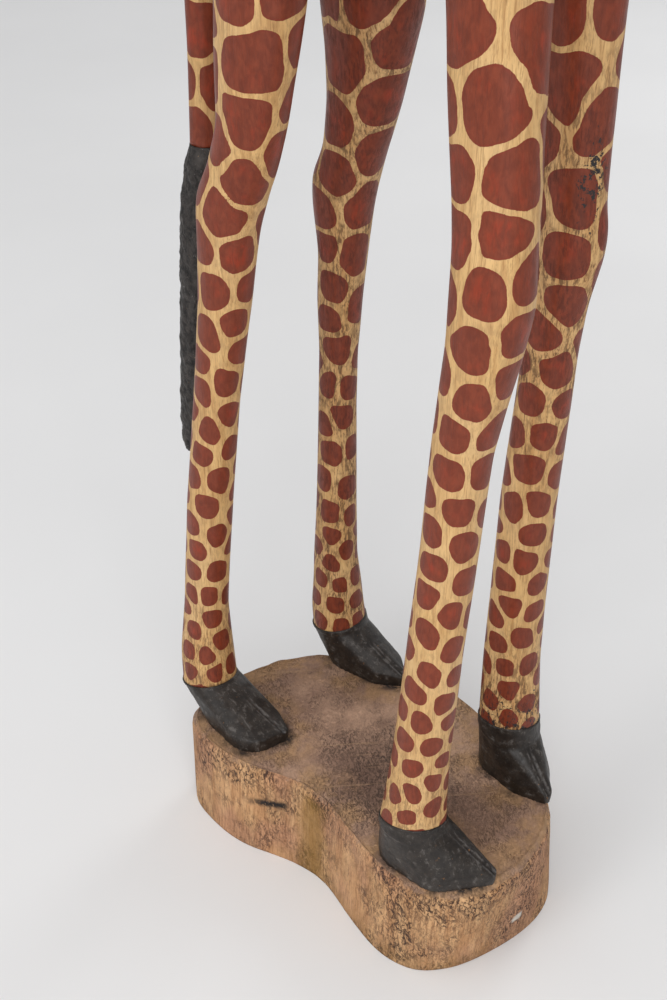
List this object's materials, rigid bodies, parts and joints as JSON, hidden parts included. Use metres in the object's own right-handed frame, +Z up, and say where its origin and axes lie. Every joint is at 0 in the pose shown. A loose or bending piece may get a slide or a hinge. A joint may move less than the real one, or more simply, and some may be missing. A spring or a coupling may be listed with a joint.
{
  "type": "giraffe statue",
  "caption": "Tall carved and painted wooden giraffe standing on a kidney-shaped wooden slab, with a lift-off neck and a long hanging tail.",
  "frame": {"origin": "centre of the flat underside of the base slab", "axes": "+Z up, -Y the way the giraffe faces, +X its left side"},
  "size_m": [0.1778, 0.4714, 1.83],
  "materials": {
    "bare_wood": "matte",
    "painted_wood": "satin",
    "black_paint": "matte",
    "brush_black": "rough",
    "dowel_wood": "matte",
    "bead": "gloss"
  },
  "bodies": {
    "stand": {"base": "bare_wood", "hoof_front_right": "black_paint", "hoof_front_left": "black_paint", "hoof_hind_right": "black_paint", "hoof_hind_left": "black_paint", "leg_front_right": "painted_wood", "leg_front_left": "painted_wood", "leg_hind_right": "painted_wood", "leg_hind_left": "painted_wood", "foot_dowel_front_right": "dowel_wood", "foot_dowel_front_left": "dowel_wood", "foot_dowel_hind_right": "dowel_wood", "foot_dowel_hind_left": "dowel_wood", "hip_dowel_front_right": "dowel_wood", "hip_dowel_front_left": "dowel_wood", "hip_dowel_hind_right": "dowel_wood", "hip_dowel_hind_left": "dowel_wood", "torso": "painted_wood", "tail": "painted_wood", "tail_dowel": "dowel_wood", "tail_tuft": "brush_black", "neck_peg": "dowel_wood"},
    "neck": {"neck": "painted_wood", "neck_tenon": "dowel_wood", "head": "painted_wood", "head_dowel": "dowel_wood", "ear_right": "painted_wood", "ear_left": "painted_wood", "horn_right": "painted_wood", "horn_left": "painted_wood", "eye_right": "bead", "eye_left": "bead"}
  },
  "joints": [
    {"name": "neck_lift", "type": "slide", "parent": "stand", "child": "neck", "axis": [0, 0, 1], "range_m": [0, 0.08]}
  ]
}
